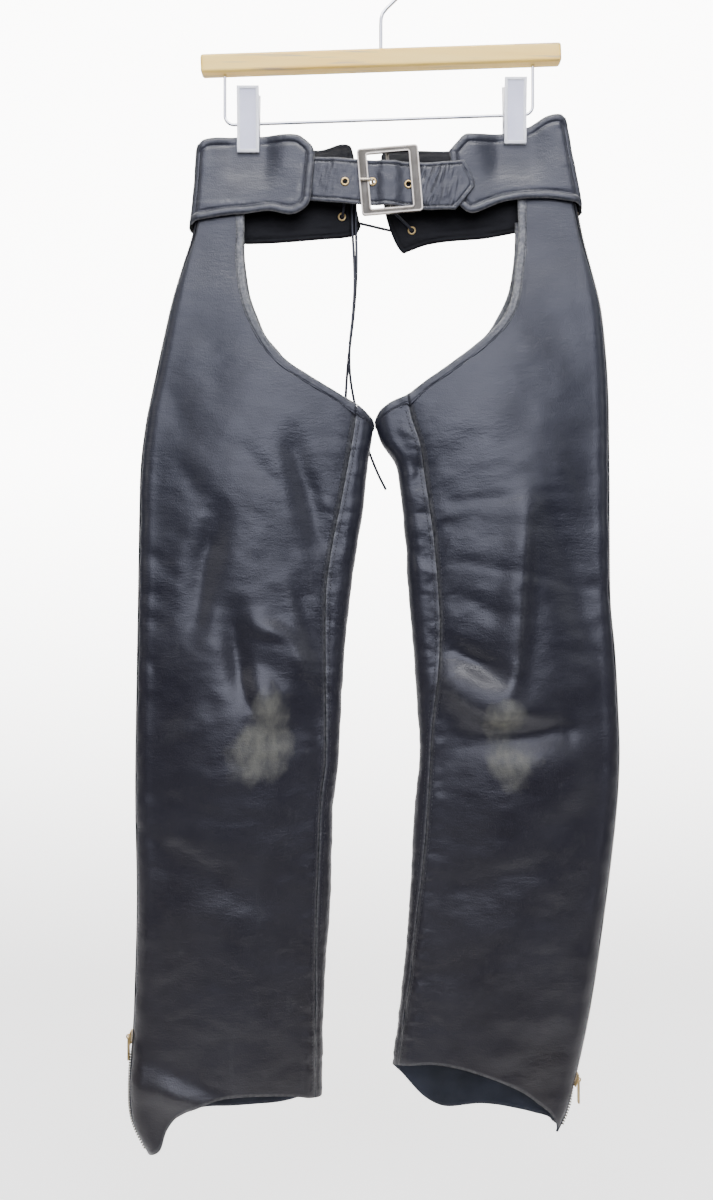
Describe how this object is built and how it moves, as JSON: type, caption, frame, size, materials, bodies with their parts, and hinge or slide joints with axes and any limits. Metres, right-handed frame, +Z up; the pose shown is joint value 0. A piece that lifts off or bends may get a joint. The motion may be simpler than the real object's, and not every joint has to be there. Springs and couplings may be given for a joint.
{
  "type": "leather chaps on a clip hanger",
  "caption": "Leather chaps with a buckled belt strap, laced back yokes and full-length side zips, held by the two clips of a wooden hanger.",
  "frame": {"origin": "the seat inside the top of the hanger's hook, where a rail or wall hook carries it", "axes": "+Z up, +X to the viewer's right along the hanger's bar, +Y away from the viewer, into the back of the garment"},
  "size_m": [0.497, 0.076, 1.1939],
  "materials": {
    "leather": "soft sheen, worn at the edges and knees",
    "zip_tape": "woven",
    "brass": "slightly worn",
    "nickel": "satin",
    "chrome": "polished",
    "wood": "pale, clear varnish",
    "plastic": "white"
  },
  "bodies": {
    "chaps": {"yoke_front_L": "leather", "yoke_front_R": "leather", "yoke_back_L": "leather", "yoke_back_R": "leather", "leg_front_L": "leather", "leg_front_R": "leather", "leg_back_L": "leather", "leg_back_R": "leather", "binding_front_L": "leather", "binding_front_R": "leather", "binding_back_L": "leather", "binding_back_R": "leather", "belt_strap": "leather", "buckle_strap": "leather", "lace": "leather", "lace_knot": "leather", "lace_end_1": "leather", "lace_end_2": "leather", "zip_front_L": "zip_tape", "zip_front_R": "zip_tape", "zip_back_L": "zip_tape", "zip_back_R": "zip_tape", "strap_eyelet_1": "brass", "strap_eyelet_2": "brass", "strap_eyelet_3": "brass", "back_eyelet_L": "brass", "back_eyelet_R": "brass", "zip_slider_L": "brass", "zip_slider_R": "brass", "buckle_frame": "nickel", "buckle_bar": "nickel", "buckle_prong": "nickel", "hanger_hook": "chrome", "hanger_wire": "chrome", "hanger_bar": "wood", "clip_front_L": "plastic", "clip_front_R": "plastic", "clip_back_L": "plastic", "clip_back_R": "plastic"},
    "pull_tab_left": {"pull_tab_L": "brass"},
    "pull_tab_right": {"pull_tab_R": "brass"}
  },
  "joints": [
    {"name": "left_tab_swing", "type": "hinge", "parent": "chaps", "child": "pull_tab_left", "pos_m": [-0.25396, 0, -1.07772], "axis": [0, 1, 0], "range_deg": [0, 150]},
    {"name": "right_tab_swing", "type": "hinge", "parent": "chaps", "child": "pull_tab_right", "pos_m": [0.19907, 0, -1.12126], "axis": [0, -1, 0], "range_deg": [0, 150]}
  ]
}
